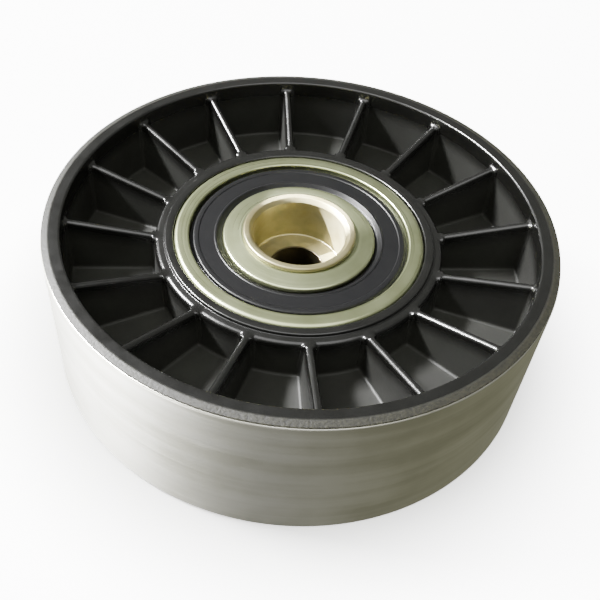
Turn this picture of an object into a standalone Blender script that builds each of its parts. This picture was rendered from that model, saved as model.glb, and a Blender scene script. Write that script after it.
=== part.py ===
"""Belt tensioner idler: a steel-sleeved, ribbed nylon pulley on a sealed ball bearing with a stepped bush.

The spin axis is Z. The pulley's rear rim stands on z = 0 and its front face looks up.
Sizes are in millimetres and become metres where the meshes are made.
"""

import math

import bmesh
import bpy
from mathutils import Matrix, Vector

MM = 0.001

# Pulley: outside, rim and web
PULLEY_R = 40.0
PULLEY_WIDTH = 25.4
SLEEVE_WALL = 1.2
SLEEVE_CHAMFER = 0.25
SLEEVE_REAR_Z = 0.1
LIP_R = 39.85
LIP_THICKNESS = 0.5
LIP_EDGE = 0.3
RIM_CREST_R = 38.9
RIM_INNER_R = 37.0
RIM_CHAMFER = 0.4
DRAFT = 0.35
WEB_THICKNESS = 2.8
FRONT_POCKET_DEPTH = 11.0

# Pulley: hub round the bearing
HUB_R = 22.9
HUB_EDGE = 0.5
COLLAR_DROP = 0.5
COLLAR_STEP_R = 21.4
SEAT_CHAMFER = 0.25
REAR_LIP_R = 18.4
REAR_LIP_THICKNESS = 1.15

# Ribs: each entry gives how far an edge lies below its rim's plane, at the rim and at the hub
FRONT_RIBS = 16
REAR_RIBS = 8
RIB_PHASE_DEG = 4.0
RIB_EDGE_THICKNESS = 1.2
RIB_ROOT_THICKNESS = 1.8
RIB_OVERLAP = 1.0
FRONT_RIB_DROPS = (1.45, 4.45)
REAR_RIB_DROPS = (1.5, 8.4)

# Bearing, 40 x 17 x 12 mm
BEARING_R = 20.0
BEARING_BORE_R = 8.5
BEARING_WIDTH = 12.0
BEARING_FACE_DROP = 4.0
RING_CHAMFER = 0.7
BALL_COUNT = 8
BALL_R = 3.3735
PITCH_R = 14.25
RACE_R = 3.58
RACE_STEPS = 6
OUTER_LAND_R = 16.35
INNER_LAND_R = 12.2
INNER_LAND_CHAMFER = 0.45
SEAL_RECESS_R = 17.5
SEAL_RECESS_DEPTH = 1.6
SEAL_RECESS_CHAMFER = 0.15

# Cage: strip that is flat between the balls and bowed over each ball
CAGE_INNER_R = 13.15
CAGE_OUTER_R = 15.35
CAGE_STRIP = 0.6
CAGE_POCKET_R = 3.5
CAGE_HALF_GAP = 0.03
CAGE_STATIONS = (0.0, 1.2, 2.4, 3.2, CAGE_POCKET_R, 4.05)
RIVET_R = 0.55
RIVET_HOLE_R = 0.65
RIVET_HEAD_R = 0.9
RIVET_HEAD_HEIGHT = 0.4
RIVET_SIDES = 8

# Seal, with depths below the bearing's face
SEAL_EDGE_R = 17.42
SEAL_BEAD_R = 16.95
SEAL_FACE_R = 16.65
SEAL_LIP_ROOT_R = 13.3
SEAL_LIP_R = 12.75
SEAL_FACE_DROP = 0.4
SEAL_BEAD_DROP = 0.95
SEAL_BACK_DROP = 1.1
SEAL_FOOT_DROP = 1.55
INSERT_OUTER_R = 16.75
INSERT_INNER_R = 13.2

# Bush
BOLT_HOLE_R = 4.2
BOLT_HOLE_CHAMFER = 0.4
COUNTERBORE_R = 7.4
COUNTERBORE_DEPTH = 7.7
COUNTERBORE_CHAMFER = 0.6
FLANGE_R = 9.0
FLANGE_EDGE = 0.4
FLANGE_RISE = 0.7
FOOT_R = 8.35
FOOT_EDGE = 0.3
FOOT_RISE = 1.5

# Gaps between pieces that are pressed or moulded together
FIT_GAP = 0.05
SLEEVE_GAP = 0.1
LIP_GAP = 0.1

PULLEY_STEPS = 64
BEARING_STEPS = 40
SHARP_ANGLE = math.radians(30.0)

FRONT_Z = PULLEY_WIDTH
BEARING_FRONT_Z = FRONT_Z - BEARING_FACE_DROP
BEARING_REAR_Z = BEARING_FRONT_Z - BEARING_WIDTH
BEARING_MID_Z = (BEARING_FRONT_Z + BEARING_REAR_Z) / 2
HUB_REAR_Z = BEARING_REAR_Z - FIT_GAP - REAR_LIP_THICKNESS
WEB_FRONT_Z = FRONT_Z - FRONT_POCKET_DEPTH
WEB_REAR_Z = WEB_FRONT_Z - WEB_THICKNESS
WEB_MID_Z = (WEB_FRONT_Z + WEB_REAR_Z) / 2
RIM_OUTER_R = PULLEY_R - SLEEVE_WALL - SLEEVE_GAP


def clear_scene():
    for old in list(bpy.data.objects):
        bpy.data.objects.remove(old, do_unlink=True)


def material(name, colour, roughness, metallic=0.0):
    made = bpy.data.materials.new(name)
    made.use_nodes = True
    shader = made.node_tree.nodes["Principled BSDF"]
    shader.inputs["Base Color"].default_value = (*colour, 1.0)
    shader.inputs["Roughness"].default_value = roughness
    shader.inputs["Metallic"].default_value = metallic
    return made


def place(name, bm, surface, location=(0.0, 0.0, 0.0), parent=None):
    """Turns a bmesh in millimetres into a named object, smooth but for its sharp edges."""
    bmesh.ops.recalc_face_normals(bm, faces=bm.faces)
    bmesh.ops.scale(bm, vec=(MM, MM, MM), verts=bm.verts)
    mesh = bpy.data.meshes.new(name)
    bm.to_mesh(mesh)
    bm.free()
    mesh.shade_smooth()
    mesh.set_sharp_from_angle(angle=SHARP_ANGLE)
    if surface:
        mesh.materials.append(surface)
    made = bpy.data.objects.new(name, mesh)
    made.location = [value * MM for value in location]
    made.parent = parent
    bpy.context.collection.objects.link(made)
    return made


def helper(name, bm, parent=None):
    """A shape that only cuts or joins another one."""
    made = place(name, bm, None, parent=parent)
    made.hide_render = True
    made.display_type = "WIRE"
    return made


def combine(target, other, operation):
    modifier = target.modifiers.new(other.name, "BOOLEAN")
    modifier.operation = operation
    modifier.solver = "EXACT"
    modifier.object = other


def raised(outline, height):
    return [(radius, z + height) for radius, z in outline]


def upside_down(outline):
    return [(radius, -z) for radius, z in outline]


def bridge(bm, first, second):
    """Side faces between two closed loops of the same number of points."""
    for i in range(len(first)):
        j = (i + 1) % len(first)
        bm.faces.new((first[i], second[i], second[j], first[j]))


def turned(outline, steps):
    """A ring whose section is the closed outline of (radius, height) points."""
    bm = bmesh.new()
    sections = []
    for step in range(steps):
        angle = 2 * math.pi * step / steps
        cos, sin = math.cos(angle), math.sin(angle)
        sections.append([bm.verts.new((r * cos, r * sin, z)) for r, z in outline])
    for section, following in zip(sections, sections[1:] + sections[:1]):
        bridge(bm, section, following)
    return bm


def pulley_body_outline():
    """Rim, web and hub in one section: an H on its side, with the bearing's seat inside the hub."""
    seat_r = BEARING_R + FIT_GAP
    collar_z = BEARING_FRONT_Z - COLLAR_DROP
    return [
        (RIM_OUTER_R, 0.0),
        (RIM_OUTER_R, FRONT_Z - LIP_THICKNESS),
        (LIP_R, FRONT_Z - LIP_THICKNESS),
        (LIP_R, FRONT_Z - LIP_EDGE),
        (RIM_CREST_R, FRONT_Z),
        (RIM_INNER_R + RIM_CHAMFER, FRONT_Z),
        (RIM_INNER_R, FRONT_Z - RIM_CHAMFER),
        (RIM_INNER_R - DRAFT, WEB_FRONT_Z),
        (HUB_R + DRAFT, WEB_FRONT_Z),
        (HUB_R, collar_z - HUB_EDGE),
        (HUB_R - HUB_EDGE, collar_z),
        (COLLAR_STEP_R, collar_z),
        (COLLAR_STEP_R, BEARING_FRONT_Z),
        (seat_r + SEAT_CHAMFER, BEARING_FRONT_Z),
        (seat_r, BEARING_FRONT_Z - SEAT_CHAMFER),
        (seat_r, BEARING_REAR_Z - FIT_GAP),
        (REAR_LIP_R, BEARING_REAR_Z - FIT_GAP),
        (REAR_LIP_R, HUB_REAR_Z),
        (HUB_R - HUB_EDGE, HUB_REAR_Z),
        (HUB_R, HUB_REAR_Z + HUB_EDGE),
        (HUB_R + DRAFT, WEB_REAR_Z),
        (RIM_INNER_R - DRAFT, WEB_REAR_Z),
        (RIM_INNER_R, RIM_CHAMFER),
        (RIM_INNER_R + RIM_CHAMFER, 0.0),
    ]


def rib_edge_z(radius, front):
    """Height of a rib's sloping edge, which is straight from rim to hub."""
    at_rim, at_hub = FRONT_RIB_DROPS if front else REAR_RIB_DROPS
    share = (RIM_INNER_R - radius) / (RIM_INNER_R - HUB_R)
    drop = at_rim + (at_hub - at_rim) * share
    return FRONT_Z - drop if front else drop


def rib_walls(count, front):
    """Radial walls from the middle of the web to their sloping edge, with their ends inside rim and hub."""
    bm = bmesh.new()
    edge, root = RIB_EDGE_THICKNESS / 2, RIB_ROOT_THICKNESS / 2
    for rib in range(count):
        turn = Matrix.Rotation(math.radians(RIB_PHASE_DEG + rib * 360.0 / count), 3, "Z")
        ends = []
        for radius in (HUB_R - RIB_OVERLAP, RIM_INNER_R + RIB_OVERLAP):
            edge_z = rib_edge_z(radius, front)
            section = ((-root, WEB_MID_Z), (root, WEB_MID_Z), (edge, edge_z), (-edge, edge_z))
            ends.append([bm.verts.new(turn @ Vector((radius, side, z))) for side, z in section])
        bridge(bm, *ends)
        for end in ends:
            bm.faces.new(end)
    return bm


def pulley_body(nylon):
    body = place("pulley_body", turned(pulley_body_outline(), PULLEY_STEPS), nylon)
    combine(body, helper("front_rib_walls", rib_walls(FRONT_RIBS, front=True)), "UNION")
    combine(body, helper("rear_rib_walls", rib_walls(REAR_RIBS, front=False)), "UNION")


def belt_sleeve(steel):
    """The steel tyre that the flat back of the belt runs on, under the body's front lip."""
    inner_r = PULLEY_R - SLEEVE_WALL
    top = FRONT_Z - LIP_THICKNESS - LIP_GAP
    outline = [
        (inner_r, SLEEVE_REAR_Z),
        (PULLEY_R - SLEEVE_CHAMFER, SLEEVE_REAR_Z),
        (PULLEY_R, SLEEVE_REAR_Z + SLEEVE_CHAMFER),
        (PULLEY_R, top - SLEEVE_CHAMFER),
        (PULLEY_R - SLEEVE_CHAMFER, top),
        (inner_r, top),
    ]
    place("belt_sleeve", turned(outline, PULLEY_STEPS), steel)


def race_groove(land_r):
    """Points of the ball groove between a ring's two lands, from its upper to its lower edge."""
    reach = land_r - PITCH_R
    half_angle = math.acos(abs(reach) / RACE_R)
    outward = math.copysign(1.0, reach)
    points = []
    for step in range(RACE_STEPS + 1):
        angle = half_angle * (1 - 2 * step / RACE_STEPS)
        points.append((PITCH_R + outward * RACE_R * math.cos(angle), RACE_R * math.sin(angle)))
    return points


def bearing_outer_ring(steel):
    half = BEARING_WIDTH / 2
    upper_half = [
        (BEARING_R, half - RING_CHAMFER),
        (BEARING_R - RING_CHAMFER, half),
        (SEAL_RECESS_R + SEAL_RECESS_CHAMFER, half),
        (SEAL_RECESS_R, half - SEAL_RECESS_CHAMFER),
        (SEAL_RECESS_R, half - SEAL_RECESS_DEPTH),
        (OUTER_LAND_R, half - SEAL_RECESS_DEPTH),
    ]
    outline = upper_half + race_groove(OUTER_LAND_R) + upside_down(reversed(upper_half))
    place("bearing_outer_ring", turned(raised(outline, BEARING_MID_Z), BEARING_STEPS), steel)


def bearing_inner_ring(steel):
    half = BEARING_WIDTH / 2
    upper_half = [
        (BEARING_BORE_R, half - RING_CHAMFER),
        (BEARING_BORE_R + RING_CHAMFER, half),
        (INNER_LAND_R - INNER_LAND_CHAMFER, half),
        (INNER_LAND_R, half - INNER_LAND_CHAMFER),
    ]
    outline = upper_half + race_groove(INNER_LAND_R) + upside_down(reversed(upper_half))
    place("bearing_inner_ring", turned(raised(outline, BEARING_MID_Z), BEARING_STEPS), steel)


def on_pitch_circle(position):
    """Point on the circle of the balls' centres; position counts in ball spacings."""
    angle = 2 * math.pi * position / BALL_COUNT
    return PITCH_R * math.cos(angle), PITCH_R * math.sin(angle), 0.0


def balls(steel, carrier):
    for index in range(BALL_COUNT):
        bm = bmesh.new()
        bmesh.ops.create_icosphere(bm, subdivisions=3, radius=BALL_R)
        place(f"ball_{index + 1}", bm, steel, on_pitch_circle(index + 0.5), carrier)


def strip_heights(along):
    """Inner and outer height of the cage strip, at a distance along the pitch circle from a ball's middle."""
    inner_bow = math.sqrt(max(CAGE_POCKET_R**2 - along**2, 0.0))
    outer_bow = math.sqrt(max((CAGE_POCKET_R + CAGE_STRIP) ** 2 - along**2, 0.0))
    return max(inner_bow, CAGE_HALF_GAP), max(outer_bow, CAGE_HALF_GAP + CAGE_STRIP)


def cage_strip(side):
    """One pressed half of the cage; side is +1 for the front half and -1 for the rear half."""
    bm = bmesh.new()
    sections = []
    for ball in range(BALL_COUNT):
        middle = 2 * math.pi * (ball + 0.5) / BALL_COUNT
        for along in [-s for s in reversed(CAGE_STATIONS)] + list(CAGE_STATIONS[1:]):
            angle = middle + along / PITCH_R
            low, high = strip_heights(along)
            corners = ((CAGE_INNER_R, low), (CAGE_OUTER_R, low), (CAGE_OUTER_R, high), (CAGE_INNER_R, high))
            cos, sin = math.cos(angle), math.sin(angle)
            sections.append([bm.verts.new((r * cos, r * sin, side * z)) for r, z in corners])
    for section, following in zip(sections, sections[1:] + sections[:1]):
        bridge(bm, section, following)
    return bm


def rivet_hole_cutter(carrier):
    bm = bmesh.new()
    reach = 2 * (CAGE_HALF_GAP + CAGE_STRIP + RIVET_HEAD_HEIGHT)
    for index in range(BALL_COUNT):
        bmesh.ops.create_cone(
            bm, cap_ends=True, segments=RIVET_SIDES, radius1=RIVET_HOLE_R, radius2=RIVET_HOLE_R,
            depth=reach, matrix=Matrix.Translation(on_pitch_circle(index)),
        )
    return helper("rivet_hole_cutter", bm, carrier)


def cage(steel, carrier):
    cutter = rivet_hole_cutter(carrier)
    for name, side in (("cage_front_half", 1), ("cage_rear_half", -1)):
        combine(place(name, cage_strip(side), steel, parent=carrier), cutter, "DIFFERENCE")


def cage_rivets(steel, carrier):
    """Round-headed rivets through both halves of the cage, midway between the balls."""
    under_head = CAGE_HALF_GAP + CAGE_STRIP + CAGE_HALF_GAP
    top = under_head + RIVET_HEAD_HEIGHT
    upper_half = [(RIVET_HEAD_R, top), (RIVET_HEAD_R, under_head), (RIVET_R, under_head)]
    outline = upper_half + upside_down(reversed(upper_half))
    turns = [2 * math.pi * side / RIVET_SIDES for side in range(RIVET_SIDES)]
    for index in range(BALL_COUNT):
        bm = bmesh.new()
        rings = [[bm.verts.new((r * math.cos(a), r * math.sin(a), z)) for a in turns] for r, z in outline]
        for upper, lower in zip(rings, rings[1:]):
            bridge(bm, upper, lower)
        bm.faces.new(rings[0])
        bm.faces.new(rings[-1])
        place(f"cage_rivet_{index + 1}", bm, steel, on_pitch_circle(index), carrier)


def seal_rubber_outline(half):
    """Edge bead, raised face and wiping lip; half is the height of the bearing's face."""
    lip_tip_r = INNER_LAND_R + FIT_GAP + FIT_GAP
    return [
        (SEAL_EDGE_R, half - SEAL_FOOT_DROP),
        (SEAL_EDGE_R, half - SEAL_BEAD_DROP),
        (SEAL_BEAD_R, half - SEAL_BEAD_DROP),
        (SEAL_FACE_R, half - SEAL_FACE_DROP),
        (SEAL_LIP_ROOT_R, half - SEAL_FACE_DROP),
        (SEAL_LIP_R, half - SEAL_BEAD_DROP),
        (lip_tip_r, half - SEAL_BACK_DROP),
        (lip_tip_r, half - SEAL_BACK_DROP - SEAL_FACE_DROP),
        (INSERT_INNER_R - FIT_GAP, half - SEAL_BACK_DROP - FIT_GAP),
        (INSERT_OUTER_R + FIT_GAP, half - SEAL_BACK_DROP - FIT_GAP),
        (INSERT_OUTER_R + FIT_GAP, half - SEAL_FOOT_DROP),
    ]


def seal_insert_outline(half):
    """The flat steel washer that stiffens the seal, behind its rubber."""
    front = half - SEAL_BACK_DROP - FIT_GAP - FIT_GAP
    rear = half - SEAL_FOOT_DROP
    return [(INSERT_OUTER_R, rear), (INSERT_OUTER_R, front), (INSERT_INNER_R, front), (INSERT_INNER_R, rear)]


def seals(rubber, steel):
    half = BEARING_WIDTH / 2
    for piece, outline, surface in (
        ("seal_rubber", seal_rubber_outline(half), rubber),
        ("seal_insert", seal_insert_outline(half), steel),
    ):
        for side, section in (("front", outline), ("rear", upside_down(outline))):
            place(f"{side}_{piece}", turned(raised(section, BEARING_MID_Z), BEARING_STEPS), surface)


def mounting_bush(plated):
    """Stepped bush in the inner ring: flange, counterbore for the bolt's head and bolt hole."""
    face = BEARING_FRONT_Z
    top = face + FLANGE_RISE
    floor = top - COUNTERBORE_DEPTH
    foot = BEARING_REAR_Z - FOOT_RISE
    shank_r = BEARING_BORE_R - FIT_GAP
    outline = [
        (BOLT_HOLE_R + BOLT_HOLE_CHAMFER, foot),
        (FOOT_R - FOOT_EDGE, foot),
        (FOOT_R, foot + FOOT_EDGE),
        (shank_r, BEARING_REAR_Z + RING_CHAMFER),
        (shank_r, face + FIT_GAP),
        (FLANGE_R, face + FIT_GAP),
        (FLANGE_R - FLANGE_EDGE, top),
        (COUNTERBORE_R + COUNTERBORE_CHAMFER, top),
        (COUNTERBORE_R, top - COUNTERBORE_CHAMFER),
        (COUNTERBORE_R, floor),
        (BOLT_HOLE_R, floor),
        (BOLT_HOLE_R, foot + BOLT_HOLE_CHAMFER),
    ]
    place("mounting_bush", turned(outline, BEARING_STEPS), plated)


def main():
    clear_scene()
    nylon = material("glass_filled_nylon", (0.020, 0.020, 0.019), 0.45)
    sleeve_steel = material("ground_sleeve_steel", (0.50, 0.50, 0.47), 0.32, 1.0)
    bearing_steel = material("bearing_steel", (0.62, 0.63, 0.58), 0.22, 1.0)
    cage_steel = material("pressed_cage_steel", (0.45, 0.45, 0.44), 0.35, 1.0)
    nitrile = material("nitrile_rubber", (0.035, 0.035, 0.040), 0.55)
    yellow_zinc = material("yellow_zinc_steel", (0.78, 0.68, 0.44), 0.25, 1.0)

    carrier = bpy.data.objects.new("cage_carrier", None)
    carrier.location = (0.0, 0.0, BEARING_MID_Z * MM)
    bpy.context.collection.objects.link(carrier)

    pulley_body(nylon)
    belt_sleeve(sleeve_steel)
    bearing_outer_ring(bearing_steel)
    bearing_inner_ring(bearing_steel)
    balls(bearing_steel, carrier)
    cage(cage_steel, carrier)
    cage_rivets(cage_steel, carrier)
    seals(nitrile, cage_steel)
    mounting_bush(yellow_zinc)


main()
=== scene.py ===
"""Looks of the belt tensioner idler: a steel-sleeved nylon pulley on a sealed ball bearing.

Lengths are in millimetres and angles in degrees. The spin axis is Z, the pulley's rear rim
stands on z = 0, and its ribbed front looks up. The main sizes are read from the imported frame.
"""

import math

import bmesh
import bpy
from mathutils import Matrix, Vector


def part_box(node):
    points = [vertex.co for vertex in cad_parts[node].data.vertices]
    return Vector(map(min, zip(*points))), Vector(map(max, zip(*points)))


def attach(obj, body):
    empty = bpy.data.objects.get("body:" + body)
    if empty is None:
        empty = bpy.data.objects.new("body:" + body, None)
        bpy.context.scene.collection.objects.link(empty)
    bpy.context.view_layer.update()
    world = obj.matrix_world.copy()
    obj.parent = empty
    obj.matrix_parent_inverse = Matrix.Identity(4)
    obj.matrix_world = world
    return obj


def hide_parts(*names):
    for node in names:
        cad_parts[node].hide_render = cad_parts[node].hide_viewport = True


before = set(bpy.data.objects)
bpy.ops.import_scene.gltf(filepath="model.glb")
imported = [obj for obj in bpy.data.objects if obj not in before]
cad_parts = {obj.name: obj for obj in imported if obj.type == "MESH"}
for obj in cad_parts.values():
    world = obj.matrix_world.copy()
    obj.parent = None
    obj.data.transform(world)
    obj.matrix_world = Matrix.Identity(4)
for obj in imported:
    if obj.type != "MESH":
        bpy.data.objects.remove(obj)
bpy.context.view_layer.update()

MM = 0.001


def turned_size(node):
    """Outer radius, lowest and highest height of a node that is turned round the spin axis."""
    low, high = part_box(node)
    return high.x / MM, low.z / MM, high.z / MM


LIP_R, REAR_Z, FRONT_Z = turned_size("pulley_body")
PULLEY_R, SLEEVE_REAR_Z, SLEEVE_FRONT_Z = turned_size("belt_sleeve")
BEARING_R, BEARING_REAR_Z, BEARING_FRONT_Z = turned_size("bearing_outer_ring")
INNER_LAND_R = turned_size("bearing_inner_ring")[0]
SEAL_EDGE_R, SEAL_FOOT_Z, SEAL_FACE_Z = turned_size("front_seal_rubber")
INSERT_R, INSERT_REAR_Z, INSERT_FRONT_Z = turned_size("front_seal_insert")
FLANGE_R, BUSH_FOOT_Z, FLANGE_Z = turned_size("mounting_bush")
CAGE_R = turned_size("cage_front_half")[0]
BEARING_MID_Z = (BEARING_REAR_Z + BEARING_FRONT_Z) / 2
BALL_COUNT = sum(node.startswith("ball_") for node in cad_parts)

# Gap between pieces that are pressed or moulded together
FIT_GAP = 0.05

# Pulley body
SLEEVE_WALL = 1.2
SLEEVE_GAP = 0.1
LIP_DROP = 0.5
LIP_EDGE_DROP = 0.28
RIM_CREST_R = 38.9
RIM_INNER_R = 37.0
DRAFT = 0.35
WEB_FRONT_Z = FRONT_Z - 11.0
WEB_REAR_Z = WEB_FRONT_Z - 2.8
WEB_MID_Z = (WEB_FRONT_Z + WEB_REAR_Z) / 2
HUB_R = 22.9
HUB_EDGE_FILLET = 0.7
HUB_REAR_Z = BEARING_REAR_Z - 1.2
COLLAR_R = 21.4
COLLAR_FOOT_R = COLLAR_R + 0.1
COLLAR_FOOT_Z = BEARING_FRONT_Z - 0.5
REAR_LIP_R = 18.4

# Ribs
FRONT_RIBS = 16
REAR_RIBS = 8
RIB_PITCH_DEG = 360 / FRONT_RIBS
RIB_PHASE_DEG = 4.0
RIB_EDGE_THICKNESS = 1.2
RIB_ROOT_THICKNESS = 1.8
RIB_EDGE_FILLET = 0.55
RIB_FOOT_FILLET = 0.5
# How far the sloping edge lies inside the rim's plane, at the rim and at the hub
FRONT_RIB_DROPS = (1.45, 4.45)
REAR_RIB_DROPS = (1.5, 8.4)
# The pockets' outer wall where the ribs' edges meet it, and how far into the rim a rib is followed
RIM_WALL_R = RIM_INNER_R - 0.04
RIB_END_R = RIM_INNER_R + 0.3

# Bearing rings
BORE_R = 8.5
PITCH_R = 14.25
RACE_R = 3.58
OUTER_LAND_R = 16.35
SEAL_RECESS_R = 17.5
SEAL_RECESS_DROP = 1.6
INNER_FACE_R = 9.3
INNER_CONE_DROP = 0.4

# Seals, from the edge inwards: a step, a bead, a sunk flat, a ridge and a sloping lip
SEAL_STEP_Z = SEAL_FACE_Z - 0.55
SEAL_BEAD_R = SEAL_EDGE_R - 0.5
SEAL_BEAD_INNER_R = SEAL_EDGE_R - 1.35
SEAL_FLAT_Z = SEAL_FACE_Z - 0.12
SEAL_RIDGE_R = 13.45
SEAL_RIDGE_Z = SEAL_FACE_Z - 0.02
SEAL_LIP_ROOT_R = 12.75
SEAL_LIP_R = INNER_LAND_R + 0.08
SEAL_LIP_FRONT_Z = SEAL_FACE_Z - 0.75
SEAL_LIP_REAR_Z = SEAL_FACE_Z - 1.1
INSERT_INNER_R = 13.2

# Balls, cage and rivets
BALL_R = 3.3735
CAGE_POCKET_R = 3.5
CAGE_INNER_R = 13.15
CAGE_STRIP = 0.6
CAGE_EDGE_CHAMFER = 0.12
CAGE_BEND = 0.25
CAGE_HALF_GAP = 0.03
RIVET_SHANK_R = 0.55
RIVET_HEAD_R = 0.9
RIVET_HEAD_BASE = 0.66
RIVET_HEAD_RIM = 0.12
RIVET_CROWN = 1.05
RIVET_CROWN_R = 0.5

# Bush
BOLT_HOLE_R = 4.2
COUNTERBORE_R = 7.4
COUNTERBORE_FLOOR_Z = FLANGE_Z - 7.7
COUNTERBORE_CHAMFER = (0.6, 0.7)
FOOT_R = 8.35
SHANK_R = BORE_R - FIT_GAP
SHANK_FOOT_Z = BEARING_REAR_Z + 0.5

# How finely the meshes are divided
TURNED_STEPS = 240
RIVET_STEPS = 32
RACE_STEPS = 12
CAGE_STATIONS = 24
BALL_SUBDIVISIONS = 5
POCKET_LINES = 11
STATION_SPACING = 2.0
ARC_STEP_DEG = 18.0
MERGE_DISTANCE = 0.004


# ---------------------------------------------------------------- outlines

def rounded(corners):
    """Points of a closed outline whose corners (radius, height, fillet) are rounded by arcs."""
    points = []
    for i, (r, z, fillet) in enumerate(corners):
        here = Vector((r, z))
        to_last = (Vector(corners[i - 1][:2]) - here).normalized()
        to_next = (Vector(corners[(i + 1) % len(corners)][:2]) - here).normalized()
        if not fillet:
            points.append((r, z))
            continue
        half = to_last.angle(to_next) / 2
        centre = here + (to_last + to_next).normalized() * fillet / math.sin(half)
        start = here + to_last * fillet / math.tan(half) - centre
        end = here + to_next * fillet / math.tan(half) - centre
        sweep = math.pi - 2 * half
        turn = math.copysign(sweep, start.x * end.y - start.y * end.x)
        pieces = max(2, math.ceil(math.degrees(sweep) / ARC_STEP_DEG))
        for step in range(pieces + 1):
            point = centre + start @ Matrix.Rotation(-turn * step / pieces, 2)
            points.append((point.x, point.y))
    return points


def mirrored(corners, height):
    """The same corners turned upside down about a height, in an order that keeps the outline's sense."""
    return [(corner[0], 2 * height - corner[1], *corner[2:]) for corner in reversed(corners)]


# ---------------------------------------------------------------- meshes

def finished(name, bm, body, surface, stands_for, location=(0.0, 0.0, 0.0)):
    """Makes a bmesh in millimetres into a piece that rides on a body in place of its CAD node."""
    bmesh.ops.remove_doubles(bm, verts=bm.verts, dist=MERGE_DISTANCE)
    bmesh.ops.recalc_face_normals(bm, faces=bm.faces)
    bmesh.ops.scale(bm, vec=(MM, MM, MM), verts=bm.verts)
    mesh = bpy.data.meshes.new(name)
    bm.to_mesh(mesh)
    bm.free()
    mesh.shade_smooth()
    mesh.materials.append(surface)
    piece = bpy.data.objects.new(name, mesh)
    piece.location = [value * MM for value in location]
    bpy.context.collection.objects.link(piece)
    weighted = piece.modifiers.new("flat_faces_stay_flat", "WEIGHTED_NORMAL")
    weighted.mode = "FACE_AREA"
    weighted.keep_sharp = False
    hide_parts(stands_for)
    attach(piece, body)
    return piece


def bridge_sections(bm, sections):
    """Skins a closed row of closed sections that all have the same number of points."""
    rings = [[bm.verts.new(point) for point in section] for section in sections]
    for ring, following in zip(rings, rings[1:] + rings[:1]):
        for i in range(len(ring)):
            j = (i + 1) % len(ring)
            bm.faces.new((ring[i], following[i], following[j], ring[j]))
    return bm


def turned(outline, steps=TURNED_STEPS):
    """A ring with the given closed outline of (radius, height) points."""
    sections = []
    for step in range(steps):
        angle = math.tau * step / steps
        sections.append([(r * math.cos(angle), r * math.sin(angle), z) for r, z in outline])
    return bridge_sections(bmesh.new(), sections)


# ---------------------------------------------------------------- pulley body

def points_between(start, end, pieces):
    """Points from start up to, but without, end."""
    return [
        tuple(a + (b - a) * step / pieces for a, b in zip(start, end))
        for step in range(pieces)
    ]


def straight_edge_z(radius, front):
    """Height of a rib's straight edge."""
    at_rim, at_hub = FRONT_RIB_DROPS if front else REAR_RIB_DROPS
    drop = at_rim + (at_hub - at_rim) * (RIM_INNER_R - radius) / (RIM_INNER_R - HUB_R)
    return FRONT_Z - drop if front else REAR_Z + drop


def rib_edge_z(radius, front):
    """Height of a rib's edge, which at the front runs down into the hub's rounded edge."""
    if radius > HUB_R or not front:
        return straight_edge_z(radius, front)
    share = max(1 - (HUB_R - radius) / HUB_EDGE_FILLET, 0.0)
    return COLLAR_FOOT_Z + (straight_edge_z(HUB_R, True) - COLLAR_FOOT_Z) * share


def foot_flare(gap):
    """How far a fillet has spread at a distance from the wall that it runs into."""
    share = min(max(1 - gap / RIB_FOOT_FILLET, 0.0), 1.0)
    return RIB_FOOT_FILLET * (1 - math.sqrt(1 - share * share))


def flank_lines():
    """Lines down a rib's side: offset from its middle, and distance below its edge or above its foot."""
    edge, root = RIB_EDGE_THICKNESS / 2, RIB_ROOT_THICKNESS / 2
    lines = [(0.0, "edge", 0.0)]
    arc = [math.radians(degrees) for degrees in (0, 30, 60, 90)]
    for turn in arc:
        offset = edge - RIB_EDGE_FILLET * (1 - math.sin(turn))
        lines.append((offset, "edge", RIB_EDGE_FILLET * (1 - math.cos(turn))))
    for turn in arc:
        offset = root + RIB_FOOT_FILLET * (1 - math.cos(turn))
        lines.append((offset, "foot", RIB_FOOT_FILLET * (1 - math.sin(turn))))
    return lines


def rise_on_rib(anchor, distance, height):
    """How far a line stands above the body where the rib's edge stands above it by a height."""
    if anchor == "edge":
        return max(height - distance, 0.0)
    return min(distance, max(height - RIB_EDGE_FILLET, 0.0))


def pulley_point(radius, z, side, rib, place, across):
    """A point of the outline moved onto rib number `rib` or into the pocket after it.

    `across` is a line on the flank before or after the rib, or a share of the pocket's width.
    """
    near_rim = foot_flare(RIM_INNER_R - DRAFT - radius)
    near_hub = foot_flare(radius - HUB_R - DRAFT)
    flare = near_rim + near_hub
    rib_angle = math.radians(RIB_PHASE_DEG + RIB_PITCH_DEG * rib)
    spread_r = min(max(radius, HUB_R), RIM_INNER_R)
    if place == "pocket":
        foot_edge = RIB_ROOT_THICKNESS / 2 + RIB_FOOT_FILLET + flare
        margin = math.asin(foot_edge / spread_r)
        angle = rib_angle + margin + (math.radians(RIB_PITCH_DEG) - 2 * margin) * across
    else:
        offset, anchor, distance = across
        sign = 1 if place == "after" else -1
        angle = rib_angle + sign * math.asin((offset + (flare if offset else 0.0)) / spread_r)
        has_rib = side == "front" or (side == "rear" and rib % (FRONT_RIBS // REAR_RIBS) == 0)
        if has_rib:
            up = 1 if side == "front" else -1
            climb = foot_flare(RIM_WALL_R - radius)
            height = max(up * (rib_edge_z(radius, side == "front") - z) + climb, 0.0)
            z += up * rise_on_rib(anchor, distance, height)
    return radius * math.cos(angle), radius * math.sin(angle), z


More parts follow.
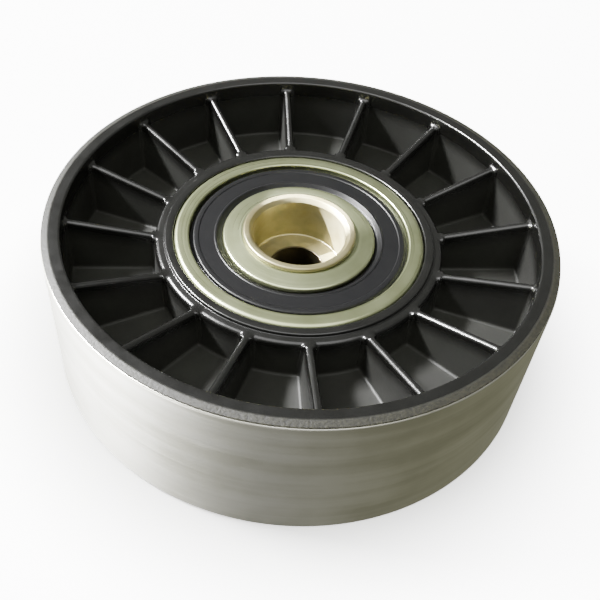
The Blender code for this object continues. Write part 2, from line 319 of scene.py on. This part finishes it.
def pulley_stations():
    """The body's closed outline as (radius, height, side), where side says which ribs stand on it."""
    tread_r = PULLEY_R - SLEEVE_WALL - SLEEVE_GAP
    seat_r = BEARING_R + FIT_GAP
    seat_z = BEARING_REAR_Z - FIT_GAP
    corners = [
        (tread_r, REAR_Z, 0.25),
        (tread_r, FRONT_Z - LIP_DROP, 0.0),
        (LIP_R, FRONT_Z - LIP_DROP, 0.08),
        (LIP_R, FRONT_Z - LIP_EDGE_DROP, 0.12),
        (RIM_CREST_R, FRONT_Z, 0.6),
        (RIM_INNER_R, FRONT_Z, 0.38),
        (RIM_INNER_R - DRAFT, WEB_FRONT_Z, RIB_FOOT_FILLET),
        (HUB_R + DRAFT, WEB_FRONT_Z, RIB_FOOT_FILLET),
        (HUB_R, COLLAR_FOOT_Z, HUB_EDGE_FILLET),
        (COLLAR_FOOT_R, COLLAR_FOOT_Z, 0.12),
        (COLLAR_R, BEARING_FRONT_Z, 0.26),
        (seat_r, BEARING_FRONT_Z, 0.25),
        (seat_r, seat_z, 0.0),
        (REAR_LIP_R, seat_z, 0.15),
        (REAR_LIP_R, HUB_REAR_Z, 0.3),
        (HUB_R, HUB_REAR_Z, 0.45),
        (HUB_R + DRAFT, WEB_REAR_Z, RIB_FOOT_FILLET),
        (RIM_INNER_R - DRAFT, WEB_REAR_Z, RIB_FOOT_FILLET),
        (RIM_INNER_R, REAR_Z, 0.38),
    ]
    outline = rounded(corners)
    stations = []
    for start, end in zip(outline, outline[1:] + outline[:1]):
        pieces = max(1, round(math.dist(start, end) / STATION_SPACING))
        stations.extend(points_between(start, end, pieces))
    return [(r, z, ribbed_side(r, z)) for r, z in stations]


def ribbed_side(radius, z):
    """Which side's ribs can stand on a point of the outline."""
    if not COLLAR_FOOT_R < radius < RIB_END_R:
        return "none"
    return "front" if z > WEB_MID_Z else "rear"


def pulley_body(nylon):
    """Rim, web, hub and ribs in one moulding, skinned over one outline for each line round the wheel."""
    stations = pulley_stations()
    lines = flank_lines()
    sections = []
    for rib in range(FRONT_RIBS):
        row = [("before", line) for line in reversed(lines[1:])]
        row += [("after", line) for line in lines]
        row += [("pocket", share / POCKET_LINES) for share in range(1, POCKET_LINES)]
        for place, across in row:
            sections.append([pulley_point(r, z, side, rib, place, across) for r, z, side in stations])
    bm = bridge_sections(bmesh.new(), sections)
    return finished("moulded_pulley_body", bm, "pulley", nylon, "pulley_body")


# ---------------------------------------------------------------- turned pieces

def belt_sleeve(steel):
    """The tyre that the belt's flat back runs on, with its edges broken."""
    inner_r = PULLEY_R - SLEEVE_WALL
    outline = [
        (inner_r, SLEEVE_REAR_Z, 0.1),
        (PULLEY_R, SLEEVE_REAR_Z, 0.3),
        (PULLEY_R, SLEEVE_FRONT_Z, 0.3),
        (inner_r, SLEEVE_FRONT_Z, 0.1),
    ]
    sleeve = turned(rounded(outline))
    return finished("rolled_steel_sleeve", sleeve, "pulley", steel, "belt_sleeve")


def race(land_r):
    """Ball groove between a ring's two lands, from its upper to its lower edge."""
    reach = land_r - PITCH_R
    half_angle = math.acos(abs(reach) / RACE_R)
    outward = math.copysign(1.0, reach)
    angles = [half_angle * (1 - 2 * step / RACE_STEPS) for step in range(RACE_STEPS + 1)]
    return [
        (PITCH_R + outward * RACE_R * math.cos(a), BEARING_MID_Z + RACE_R * math.sin(a), 0.0)
        for a in angles
    ]


def bearing_rings(steel):
    """An outer ring with recesses for the seals, and an inner ring with slightly conical faces."""
    recess_z = BEARING_FRONT_Z - SEAL_RECESS_DROP
    outer = [
        (BEARING_R, BEARING_FRONT_Z, 0.75),
        (SEAL_RECESS_R, BEARING_FRONT_Z, 0.34),
        (SEAL_RECESS_R, recess_z, 0.0),
        (OUTER_LAND_R, recess_z, 0.1),
    ]
    inner = [
        (BORE_R, BEARING_FRONT_Z, 0.45),
        (INNER_FACE_R, BEARING_FRONT_Z, 0.5),
        (INNER_LAND_R, BEARING_FRONT_Z - INNER_CONE_DROP, 0.42),
    ]
    for name, corners, land_r, body, node in (
        ("ground_outer_ring", outer, OUTER_LAND_R, "pulley", "bearing_outer_ring"),
        ("ground_inner_ring", inner, INNER_LAND_R, "fixed_bush", "bearing_inner_ring"),
    ):
        outline = corners + race(land_r) + mirrored(corners, BEARING_MID_Z)
        finished(name, turned(rounded(outline)), body, steel, node)


def seals(rubber, steel):
    """A rubber face moulded over a steel washer on each side of the bearing."""
    back_z = INSERT_FRONT_Z + FIT_GAP
    draft = 0.1
    face = [
        (SEAL_EDGE_R, SEAL_FOOT_Z, 0.05),
        (SEAL_EDGE_R, SEAL_STEP_Z, 0.12),
        (SEAL_BEAD_R + 0.08, SEAL_STEP_Z, 0.1),
        (SEAL_BEAD_R, SEAL_FACE_Z, 0.3),
        (SEAL_BEAD_INNER_R, SEAL_FACE_Z, 0.12),
        (SEAL_BEAD_INNER_R - draft, SEAL_FLAT_Z, 0.12),
        (SEAL_RIDGE_R + draft, SEAL_FLAT_Z, 0.15),
        (SEAL_RIDGE_R, SEAL_RIDGE_Z, 0.1),
        (INSERT_INNER_R, SEAL_RIDGE_Z, 0.12),
        (SEAL_LIP_ROOT_R, SEAL_STEP_Z, 0.15),
        (SEAL_LIP_R, SEAL_LIP_FRONT_Z, 0.08),
        (SEAL_LIP_R, SEAL_LIP_REAR_Z, 0.05),
        (INSERT_INNER_R - FIT_GAP, back_z, 0.0),
        (INSERT_R + FIT_GAP, back_z, 0.0),
        (INSERT_R + FIT_GAP, SEAL_FOOT_Z, 0.0),
    ]
    washer = [
        (INSERT_R, INSERT_REAR_Z, 0.06),
        (INSERT_R, INSERT_FRONT_Z, 0.06),
        (INSERT_INNER_R, INSERT_FRONT_Z, 0.06),
        (INSERT_INNER_R, INSERT_REAR_Z, 0.06),
    ]
    for side, flip in (("front", False), ("rear", True)):
        for piece, corners, slot, surface in (
            ("seal_rubber", face, "nitrile_rubber", rubber),
            ("seal_insert", washer, "pressed_steel", steel),
        ):
            outline = mirrored(corners, BEARING_MID_Z) if flip else corners
            ring = turned(rounded(outline))
            finished(f"{side}_{piece}_moulded", ring, "pulley", surface, f"{side}_{piece}")


def mounting_bush(plated):
    """A flanged bush through the inner ring, counterbored for the head of the bolt that clamps it."""
    under_flange_z = BEARING_FRONT_Z + FIT_GAP
    chamfer_width, chamfer_depth = COUNTERBORE_CHAMFER
    outline = [
        (BOLT_HOLE_R, BUSH_FOOT_Z, 0.35),
        (FOOT_R, BUSH_FOOT_Z, 0.3),
        (SHANK_R, SHANK_FOOT_Z, 0.0),
        (SHANK_R, under_flange_z, 0.0),
        (FLANGE_R, under_flange_z, 0.05),
        (FLANGE_R, FLANGE_Z, 0.35),
        (COUNTERBORE_R + chamfer_width, FLANGE_Z, 0.3),
        (COUNTERBORE_R, FLANGE_Z - chamfer_depth, 0.25),
        (COUNTERBORE_R, COUNTERBORE_FLOOR_Z, 0.3),
        (BOLT_HOLE_R, COUNTERBORE_FLOOR_Z, 0.12),
    ]
    bush = turned(rounded(outline))
    return finished("turned_mounting_bush", bush, "fixed_bush", plated, "mounting_bush")


# ---------------------------------------------------------------- balls, cage and rivets

def on_pitch_circle(position):
    """The place of a ball or rivet, counted in balls round the bearing."""
    angle = math.tau * position / BALL_COUNT
    return PITCH_R * math.cos(angle), PITCH_R * math.sin(angle), BEARING_MID_Z


def balls(steel):
    """Lapped balls, each of which rides on its own body and lies halfway between two rivets."""
    for index in range(BALL_COUNT):
        bm = bmesh.new()
        bmesh.ops.create_icosphere(bm, subdivisions=BALL_SUBDIVISIONS, radius=BALL_R)
        finished(f"lapped_ball_{index + 1}", bm, f"rolling_ball_{index + 1}", steel,
                 f"ball_{index + 1}", on_pitch_circle(index + 0.5))


def cage_height(along, radius, least):
    """Height of the cage's inner or outer skin, at a distance along the pitch circle from a ball.

    It is the higher of a bow round the ball and the flat between balls, with a bend between the two.
    """
    bow = math.sqrt(max(radius**2 - along**2, 0.0))
    if not bow:
        return least
    return (bow + least + math.sqrt((bow - least) ** 2 + CAGE_BEND**2) - CAGE_BEND) / 2


def cage_halves(steel):
    """Steel strip pressed into a wave that wraps half of each ball, with its edges broken."""
    edge = CAGE_EDGE_CHAMFER
    for name, node, side in (("front", "cage_front_half", 1), ("rear", "cage_rear_half", -1)):
        sections = []
        for ball in range(BALL_COUNT):
            for step in range(CAGE_STATIONS):
                along = math.pi * PITCH_R / BALL_COUNT * (2 * step / CAGE_STATIONS - 1)
                angle = math.tau * (ball + 0.5) / BALL_COUNT + along / PITCH_R
                low = cage_height(along, CAGE_POCKET_R, CAGE_HALF_GAP)
                high = cage_height(along, CAGE_POCKET_R + CAGE_STRIP, CAGE_HALF_GAP + CAGE_STRIP)
                corners = [
                    (CAGE_INNER_R + edge, low), (CAGE_R - edge, low), (CAGE_R, low + edge),
                    (CAGE_R, high - edge), (CAGE_R - edge, high), (CAGE_INNER_R + edge, high),
                    (CAGE_INNER_R, high - edge), (CAGE_INNER_R, low + edge),
                ]
                sections.append([
                    (r * math.cos(angle), r * math.sin(angle), BEARING_MID_Z + side * z)
                    for r, z in corners
                ])
        bm = bridge_sections(bmesh.new(), sections)
        finished(f"pressed_cage_{name}_half", bm, "ball_cage", steel, node)


def cage_rivets(steel):
    """A rivet with a low domed head at each end, between every two balls.

    A turned outline has to leave the axis free, so a bore too fine to see runs through each rivet.
    """
    bore_r, dome_fall = 0.02, 0.05
    half = [
        (bore_r, RIVET_CROWN, 0.0),
        (RIVET_CROWN_R, RIVET_CROWN - dome_fall, 0.2),
        (RIVET_HEAD_R, RIVET_HEAD_BASE + RIVET_HEAD_RIM, 0.08),
        (RIVET_HEAD_R, RIVET_HEAD_BASE, 0.05),
        (RIVET_SHANK_R, RIVET_HEAD_BASE, 0.0),
    ]
    outline = rounded(half + mirrored(half, 0.0))
    for index in range(BALL_COUNT):
        rivet = turned(outline, RIVET_STEPS)
        finished(f"headed_cage_rivet_{index + 1}", rivet, "ball_cage", steel,
                 f"cage_rivet_{index + 1}", on_pitch_circle(index))


# ---------------------------------------------------------------- materials

PAPER_GLOW = 9.0


def linear(hex_colour):
    """An sRGB hex colour as linear red, green, blue and alpha."""
    parts = [int(hex_colour[i:i + 2], 16) / 255 for i in (1, 3, 5)]
    return [c / 12.92 if c <= 0.04045 else ((c + 0.055) / 1.055) ** 2.4 for c in parts] + [1.0]


def node(tree, kind, settings=None, **links):
    """Adds a node, sets its properties or sockets, and links the named sockets to others' outputs.

    A key of `settings` that is a socket's name or number sets that socket, and any other key is a property.
    """
    made = tree.nodes.new("ShaderNode" + kind)
    for key, value in (settings or {}).items():
        if isinstance(key, str) and hasattr(made, key):
            setattr(made, key, value)
        else:
            made.inputs[key].default_value = value
    for key, source in links.items():
        socket = int(key[1:]) if key[0] == "_" else key.replace("_", " ")
        tree.links.new(source, made.inputs[socket])
    return made


def new_surface(name):
    """A new material, its node tree and its shader."""
    made = bpy.data.materials.new(name)
    made.use_nodes = True
    tree = made.node_tree
    return made, tree, tree.nodes["Principled BSDF"]


def wavelength(millimetres):
    """Scale of a noise on object coordinates, in metres, whose features are this far apart."""
    return 1 / (millimetres * MM)


def ramp(tree, source, stops):
    """Colour ramp with (position, hex colour) stops."""
    made = node(tree, "ValToRGB", Fac=source)
    elements = made.color_ramp.elements
    while len(elements) < len(stops):
        elements.new(0.5)
    for element, (position, colour) in zip(elements, stops):
        element.position = position
        element.color = linear(colour)
    return made.outputs["Color"]


def levels(tree, source, low, high):
    """A value between 0 and 1 spread from low to high."""
    return node(tree, "MapRange", {"To Min": low, "To Max": high}, Value=source).outputs[0]


def share_between(tree, source, start, end):
    """0 up to a start and 1 from an end, both in millimetres, of a source in metres."""
    limits = {"From Min": start * MM, "From Max": end * MM}
    return node(tree, "MapRange", limits, Value=source).outputs[0]


def noise(tree, coordinates, spacing, detail=2.0):
    """Cloudy noise whose features are a number of millimetres apart."""
    settings = {"Scale": wavelength(spacing), "Detail": detail}
    return node(tree, "TexNoise", settings, Vector=coordinates).outputs["Fac"]


def object_coordinates(tree):
    """The place on a piece, in metres from its own origin."""
    return node(tree, "TexCoord").outputs["Object"]


def distance_from_axis(tree):
    """Distance from the spin axis, in metres."""
    across = {"operation": "MULTIPLY", 1: (1.0, 1.0, 0.0)}
    flat = node(tree, "VectorMath", across, _0=object_coordinates(tree)).outputs[0]
    return node(tree, "VectorMath", {"operation": "LENGTH"}, _0=flat).outputs["Value"]


def mixed(tree, share, first, second):
    """The first colour or value where the share is 0, and the second where it is 1."""
    return node(tree, "Mix", {"data_type": "RGBA"}, _0=share, _6=first, _7=second).outputs[2]


def turning_marks(tree, groove, streak):
    """Noise drawn out along circles round the spin axis, as a tool or a grinding wheel leaves it.

    `groove` is the marks' spacing and `streak` is their length, in millimetres.
    """
    place = node(tree, "SeparateXYZ", Vector=object_coordinates(tree)).outputs
    radius = distance_from_axis(tree)
    across = wavelength(groove)
    along = wavelength(streak)
    stretched = [(radius, across), (place["Z"], across), (place["X"], along), (place["Y"], along)]
    scaled = [
        node(tree, "Math", {"operation": "MULTIPLY", 1: scale}, _0=value).outputs[0]
        for value, scale in stretched
    ]
    where = node(tree, "CombineXYZ", X=scaled[0], Y=scaled[1], Z=scaled[2]).outputs[0]
    settings = {"noise_dimensions": "4D", "Scale": 1.0, "Detail": 3.0}
    return node(tree, "TexNoise", settings, Vector=where, W=scaled[3]).outputs["Fac"]


def bumps(tree, shader, heights):
    """Chains (height, distance in millimetres) bumps into the shader's normal."""
    last = None
    for height, distance in heights:
        links = {"Height": height}
        if last:
            links["Normal"] = last
        last = node(tree, "Bump", {"Distance": distance * MM, "Strength": 1.0}, **links).outputs["Normal"]
    tree.links.new(last, shader.inputs["Normal"])


def pocket_share(tree):
    """0 on the ribs' edges, on the hub's top and at the rear, and 1 deep in the pockets."""
    height = node(tree, "SeparateXYZ", Vector=object_coordinates(tree)).outputs["Z"]
    slope = (FRONT_RIB_DROPS[1] - FRONT_RIB_DROPS[0]) / (RIM_INNER_R - HUB_R)
    edge_line = {"operation": "MULTIPLY_ADD", 1: slope, 2: straight_edge_z(0.0, True) * MM}
    rib_edge = node(tree, "Math", edge_line, _0=distance_from_axis(tree)).outputs[0]
    depth = node(tree, "Math", {"operation": "SUBTRACT"}, _0=rib_edge, _1=height).outputs[0]
    in_front = share_between(tree, depth, 0.9, 3.5)
    at_rear = share_between(tree, height, 2.0, HUB_REAR_Z)
    return node(tree, "Math", {"operation": "MINIMUM"}, _0=in_front, _1=at_rear).outputs[0]


def glass_filled_nylon():
    """Black nylon 6.6 with a third of glass fibre, moulded: glossy where it left a polished tool.

    The pockets are matt, and painted paler as painted fill light that lifts their shade; the rim's outer
    band is rough and gritty from scuffing, and tinted olive as a painted reflection.
    """
    made, tree, shader = new_surface("glass_filled_nylon")
    where = object_coordinates(tree)
    cloud = noise(tree, where, 7.0, detail=4.0)
    # Glass fibres are about 0.01 mm thick, and their mottle is drawn coarser so that it shows
    fibre = noise(tree, where, 0.45)
    flow = noise(tree, where, 3.2)
    deep = pocket_share(tree)
    # The rim's outer band: real scuffing in its roughness and grit, and a painted olive reflection in its
    # colour
    scuff_and_reflection_band = share_between(tree, distance_from_axis(tree), RIM_CREST_R - 0.3, RIM_CREST_R + 0.1)
    dull = node(tree, "Math", {"operation": "MAXIMUM"}, _0=deep, _1=scuff_and_reflection_band).outputs[0]
    clean = ramp(tree, cloud, [(0.3, "#0d0d0b"), (0.7, "#11110f")])
    # Painted fill light: a paler colour deep in the pockets lifts their shade
    pocket_painted_fill = ramp(tree, cloud, [(0.3, "#20201c"), (0.7, "#262722")])
    # Painted reflection: an olive colour that stands for the room reflected in the rim's outer band
    olive = ramp(tree, fibre, [(0.3, "#17160e"), (0.7, "#2c2b1d")])
    colour = mixed(tree, scuff_and_reflection_band, mixed(tree, deep, clean, pocket_painted_fill), olive)
    rough = mixed(tree, dull, levels(tree, flow, 0.18, 0.3), levels(tree, fibre, 0.5, 0.65))
    grit = node(tree, "Math", {"operation": "MULTIPLY"}, _0=fibre, _1=scuff_and_reflection_band).outputs[0]
    tree.links.new(colour, shader.inputs["Base Color"])
    tree.links.new(rough, shader.inputs["Roughness"])
    tree.links.new(levels(tree, dull, 0.5, 0.2), shader.inputs["Specular IOR Level"])
    bumps(tree, shader, [(flow, 0.03), (fibre, 0.012), (grit, 0.05)])
    return made


def ground_sleeve_steel():
    """Mild steel strip rolled into a sleeve and ground: satin grey, fine lines round it, a warm oil film."""
    made, tree, shader = new_surface("ground_sleeve_steel")
    # Grinding lines are about 0.05 mm apart, and these are coarser so that they show
    lines = turning_marks(tree, 0.35, 25.0)
    bands = turning_marks(tree, 2.5, 60.0)
    patches = noise(tree, object_coordinates(tree), 11.0, detail=5.0)
    streaks = node(tree, "Math", {"operation": "ADD"}, _0=patches, _1=bands).outputs[0]
    stained = node(tree, "MapRange", {"From Min": 0.75, "From Max": 1.25}, Value=streaks).outputs[0]
    colour = ramp(tree, stained, [(0.1, "#aaa99d"), (0.5, "#b9b8ae"), (0.9, "#c3c2ba")])
    tree.links.new(colour, shader.inputs["Base Color"])
    shader.inputs["Metallic"].default_value = 1.0
    tree.links.new(levels(tree, lines, 0.24, 0.52), shader.inputs["Roughness"])
    bumps(tree, shader, [(lines, 0.014), (bands, 0.01)])
    return made


def bearing_steel():
    """Hardened chrome steel, ground and lightly oiled: bright, faintly olive, with fine rings on it."""
    made, tree, shader = new_surface("oiled_bearing_steel")
    # Finer in truth, as on the sleeve
    lines = turning_marks(tree, 0.3, 30.0)
    film = noise(tree, object_coordinates(tree), 5.0, detail=3.0)
    colour = ramp(tree, film, [(0.3, "#949a75"), (0.7, "#a6ac87")])
    tree.links.new(colour, shader.inputs["Base Color"])
    shader.inputs["Metallic"].default_value = 1.0
    tree.links.new(levels(tree, lines, 0.22, 0.36), shader.inputs["Roughness"])
    bumps(tree, shader, [(lines, 0.01)])
    return made


def pressed_steel():
    """Cold rolled strip, pressed: dull grey with rolling grain and slight stains."""
    made, tree, shader = new_surface("pressed_strip_steel")
    stains = noise(tree, object_coordinates(tree), 2.5, detail=4.0)
    # Rolling grain is under 0.1 mm, and this is coarser so that it shows
    grain = noise(tree, object_coordinates(tree), 0.3)
    colour = ramp(tree, stains, [(0.3, "#a2a19b"), (0.7, "#b9b8b2")])
    tree.links.new(colour, shader.inputs["Base Color"])
    shader.inputs["Metallic"].default_value = 1.0
    tree.links.new(levels(tree, stains, 0.3, 0.45), shader.inputs["Roughness"])
    bumps(tree, shader, [(grain, 0.006)])
    return made


def nitrile_rubber():
    """Moulded nitrile rubber: dull slate black, with a fine spark-eroded grain and faint bloom."""
    made, tree, shader = new_surface("nitrile_rubber")
    bloom = noise(tree, object_coordinates(tree), 4.0, detail=4.0)
    # A spark-eroded grain is about 0.05 mm, and this is coarser so that it shows
    grain = noise(tree, object_coordinates(tree), 0.25)
    colour = ramp(tree, bloom, [(0.3, "#121214"), (0.7, "#171718")])
    tree.links.new(colour, shader.inputs["Base Color"])
    tree.links.new(levels(tree, grain, 0.32, 0.42), shader.inputs["Roughness"])
    shader.inputs["Specular IOR Level"].default_value = 0.16
    bumps(tree, shader, [(grain, 0.012)])
    return made


def yellow_zinc_steel():
    """Turned steel, zinc plated and passivated yellow: greenish gold over turned rings, with painted shade
    darkening the wall of the bolt hole.
    """
    made, tree, shader = new_surface("yellow_zinc_steel")
    # A lathe's feed marks are about 0.15 mm apart, and these are coarser so that they show
    rings = turning_marks(tree, 0.4, 30.0)
    patches = noise(tree, object_coordinates(tree), 4.0, detail=3.0)
    colour = ramp(tree, patches, [(0.3, "#7d7550"), (0.55, "#918a67"), (0.75, "#7a7657")])
    # Painted shade: the bolt hole's wall is coloured dark where shade falls inside it
    in_hole = share_between(tree, distance_from_axis(tree), BOLT_HOLE_R + 0.3, BOLT_HOLE_R + 0.1)
    painted_hole_shade = ramp(tree, patches, [(0.3, "#262116"), (0.7, "#3a3424")])
    tree.links.new(mixed(tree, in_hole, colour, painted_hole_shade), shader.inputs["Base Color"])
    shader.inputs["Metallic"].default_value = 0.75
    tree.links.new(levels(tree, rings, 0.26, 0.44), shader.inputs["Roughness"])
    bumps(tree, shader, [(rings, 0.02)])
    return made


def studio_paper():
    """Matt white paper that gives out light, with a painted shadow where the part stands, where its light
    fades to nothing.
    """
    made, tree, shader = new_surface("studio_paper")
    fibres = noise(tree, object_coordinates(tree), 1.5, detail=3.0)
    colour = ramp(tree, fibres, [(0.3, "#f4f4f2"), (0.7, "#f7f7f5")])
    tree.links.new(colour, shader.inputs["Base Color"])
    tree.links.new(levels(tree, fibres, 0.85, 0.95), shader.inputs["Roughness"])
    reach = node(tree, "VectorMath", {"operation": "LENGTH"}, _0=object_coordinates(tree)).outputs["Value"]
    # Painted shadow: the paper's own light fades out under the part
    spread = {
        "interpolation_type": "SMOOTHSTEP",
        "From Min": 0.85 * PULLEY_R * MM,
        "From Max": 1.5 * PULLEY_R * MM,
        "To Max": PAPER_GLOW,
    }
    glow_with_painted_shadow = node(tree, "MapRange", spread, Value=reach).outputs[0]
    shader.inputs["Emission Color"].default_value = (1.0, 1.0, 1.0, 1.0)
    tree.links.new(glow_with_painted_shadow, shader.inputs["Emission Strength"])
    return made


def painted_shade_sheet():
    """A matt black sheet with a woolly surface, put under the part as painted shade that shows through the
    bolt hole.
    """
    made, tree, shader = new_surface("painted_shade_sheet")
    wool = noise(tree, object_coordinates(tree), 0.8, detail=4.0)
    colour = ramp(tree, wool, [(0.3, "#080808"), (0.7, "#101010")])
    tree.links.new(colour, shader.inputs["Base Color"])
    tree.links.new(levels(tree, wool, 0.9, 1.0), shader.inputs["Roughness"])
    return made


# ---------------------------------------------------------------- studio

CAMERA_LENS = 49.99
CAMERA_ELEVATION_DEG = 46.82
CAMERA_ROLL_DEG = 3.08
CAMERA_SHIFT_X = 0.0705
# From the camera to the middle of the front rim, in pulley radii: right, up and forward
RIM_FROM_CAMERA = (0.169, 0.336, 3.251)
NEAREST_SEEN = 10.0

# Where the key light stands, in metres
KEY_PLACE = (-0.557, 0.149, 0.576)
SNOOT_DISTANCE = 400.0
SNOOT_OPENING_R = 1.5
SNOOT_SOFT_EDGE = 0.3

DOME_STRENGTH = 0.46
WALL_STRENGTH = 26.0
# Half the height of the soft change from wall to dome, as a part of a unit direction
WALL_TOP_BLEND = 0.15

PAPER_HALF_WIDTH = 1600.0
PAPER_Z = -0.2
# A black sheet under the part: painted shade seen through the bolt hole
SHADE_PATCH_HALF_WIDTH = 24.0
SHADE_PATCH_Z = -0.1


def studio_camera():
    """A camera above the front of the pulley, turned slightly about its own line of sight."""
    data = bpy.data.cameras.new("studio_camera")
    data.lens = CAMERA_LENS
    data.shift_x = CAMERA_SHIFT_X
    data.clip_start = NEAREST_SEEN * MM
    camera = bpy.data.objects.new("studio_camera", data)
    bpy.context.collection.objects.link(camera)
    tilt = Matrix.Rotation(math.radians(90 - CAMERA_ELEVATION_DEG), 4, "X")
    roll = Matrix.Rotation(math.radians(CAMERA_ROLL_DEG), 4, "Z")
    turn = tilt @ roll
    right, up, back = (Vector(turn.col[i][:3]) for i in range(3))
    along_right, along_up, forward = RIM_FROM_CAMERA
    offset = right * along_right + up * along_up - back * forward
    place = Vector((0.0, 0.0, FRONT_Z)) - offset * PULLEY_R
    camera.matrix_world = Matrix.Translation(place * MM) @ turn
    bpy.context.scene.camera = camera


def soft_light(name, place, width, height, power, only_reflected=False):
    """A softbox that faces the part, placed and sized in metres, which may show in reflections alone."""
    data = bpy.data.lights.new(name, "AREA")
    data.shape = "RECTANGLE"
    data.size = width
    data.size_y = height
    data.energy = power
    light = bpy.data.objects.new(name, data)
    light.location = place
    light.visible_diffuse = not only_reflected
    light.rotation_euler = (-Vector(place)).to_track_quat("-Z", "Y").to_euler()
    bpy.context.collection.objects.link(light)


def snoot(name, target, azimuth, elevation, cone, power):
    """A narrow beam onto a spot in millimetres, with the way it comes from and its cone in degrees."""
    data = bpy.data.lights.new(name, "SPOT")
    data.energy = power
    data.spot_size = math.radians(cone)
    data.spot_blend = SNOOT_SOFT_EDGE
    data.shadow_soft_size = SNOOT_OPENING_R * MM
    rise, turn = math.radians(elevation), math.radians(azimuth)
    level = math.cos(rise)
    towards = Vector((level * math.cos(turn), level * math.sin(turn), math.sin(rise)))
    light = bpy.data.objects.new(name, data)
    light.location = (Vector(target) + towards * SNOOT_DISTANCE) * MM
    light.rotation_euler = (-towards).to_track_quat("-Z", "Y").to_euler()
    bpy.context.collection.objects.link(light)


def surroundings():
    """An even dome over a low wall that is bright on the left and grey on the right."""
    world = bpy.data.worlds.new("studio_walls")
    world.use_nodes = True
    bpy.context.scene.world = world
    tree = world.node_tree
    direction = node(tree, "TexCoord").outputs["Generated"]
    parts = node(tree, "SeparateXYZ", Vector=direction).outputs
    from_left = node(tree, "MapRange", {"From Min": -1.0, "From Max": 1.0}, Value=parts["X"]).outputs[0]
    colour = ramp(tree, from_left, [
        (0.0, "#ffffff"), (0.15, "#ffffff"), (0.22, "#5c5c5a"), (0.33, "#313130"),
        (0.43, "#232322"), (0.75, "#1c1c17"), (1.0, "#181811"),
    ])
    wall = node(tree, "Background", {"Strength": WALL_STRENGTH}, Color=colour).outputs[0]
    dome = tree.nodes["Background"]
    dome.inputs["Color"].default_value = linear("#f6f8f0")
    dome.inputs["Strength"].default_value = DOME_STRENGTH
    blend = {"From Min": -WALL_TOP_BLEND, "From Max": WALL_TOP_BLEND}
    above_wall = node(tree, "MapRange", blend, Value=parts["Z"]).outputs[0]
    room = node(tree, "MixShader", Fac=above_wall, _1=wall, _2=dome.outputs[0]).outputs[0]
    tree.links.new(room, tree.nodes["World Output"].inputs["Surface"])


def studio_sheet(name, surface, half_width, height):
    """A level square sheet that isn't part of the object."""
    bm = bmesh.new()
    bmesh.ops.create_grid(bm, x_segments=8, y_segments=8, size=half_width * MM)
    mesh = bpy.data.meshes.new(name)
    bm.to_mesh(mesh)
    bm.free()
    mesh.materials.append(surface)
    sheet = bpy.data.objects.new(name, mesh)
    sheet.location.z = height * MM
    bpy.context.collection.objects.link(sheet)
    return sheet


def studio_floor(paper, shade_sheet):
    """A paper floor that metal doesn't mirror, and a black patch of painted shade that shows through the
    bolt hole.
    """
    sweep = studio_sheet("paper_sweep", paper, PAPER_HALF_WIDTH, PAPER_Z)
    sweep.visible_glossy = False
    # Painted shade: a black sheet under the part stands in for the shade seen through the bolt hole
    studio_sheet("painted_shade_patch", shade_sheet, SHADE_PATCH_HALF_WIDTH, SHADE_PATCH_Z)


# ---------------------------------------------------------------- build

studio_camera()
surroundings()
studio_floor(studio_paper(), painted_shade_sheet())
soft_light("key_softbox", KEY_PLACE, 0.22, 0.11, 18.0)
soft_light("edge_strip", KEY_PLACE, 0.30, 0.06, 140.0, only_reflected=True)
soft_light("overhead_softbox", (0.0, -0.3, 0.85), 0.9, 0.9, 9.0)
snoot("snoot_on_the_bush", (5.2, 4.4, 19.0), 155.0, 38.0, 1.45, 800.0)

nylon = glass_filled_nylon()
sleeve_steel = ground_sleeve_steel()
ring_steel = bearing_steel()
strip_steel = pressed_steel()
rubber = nitrile_rubber()
zinc = yellow_zinc_steel()

pulley_body(nylon)
belt_sleeve(sleeve_steel)
bearing_rings(ring_steel)
seals(rubber, strip_steel)
mounting_bush(zinc)
balls(ring_steel)
cage_halves(strip_steel)
cage_rivets(strip_steel)
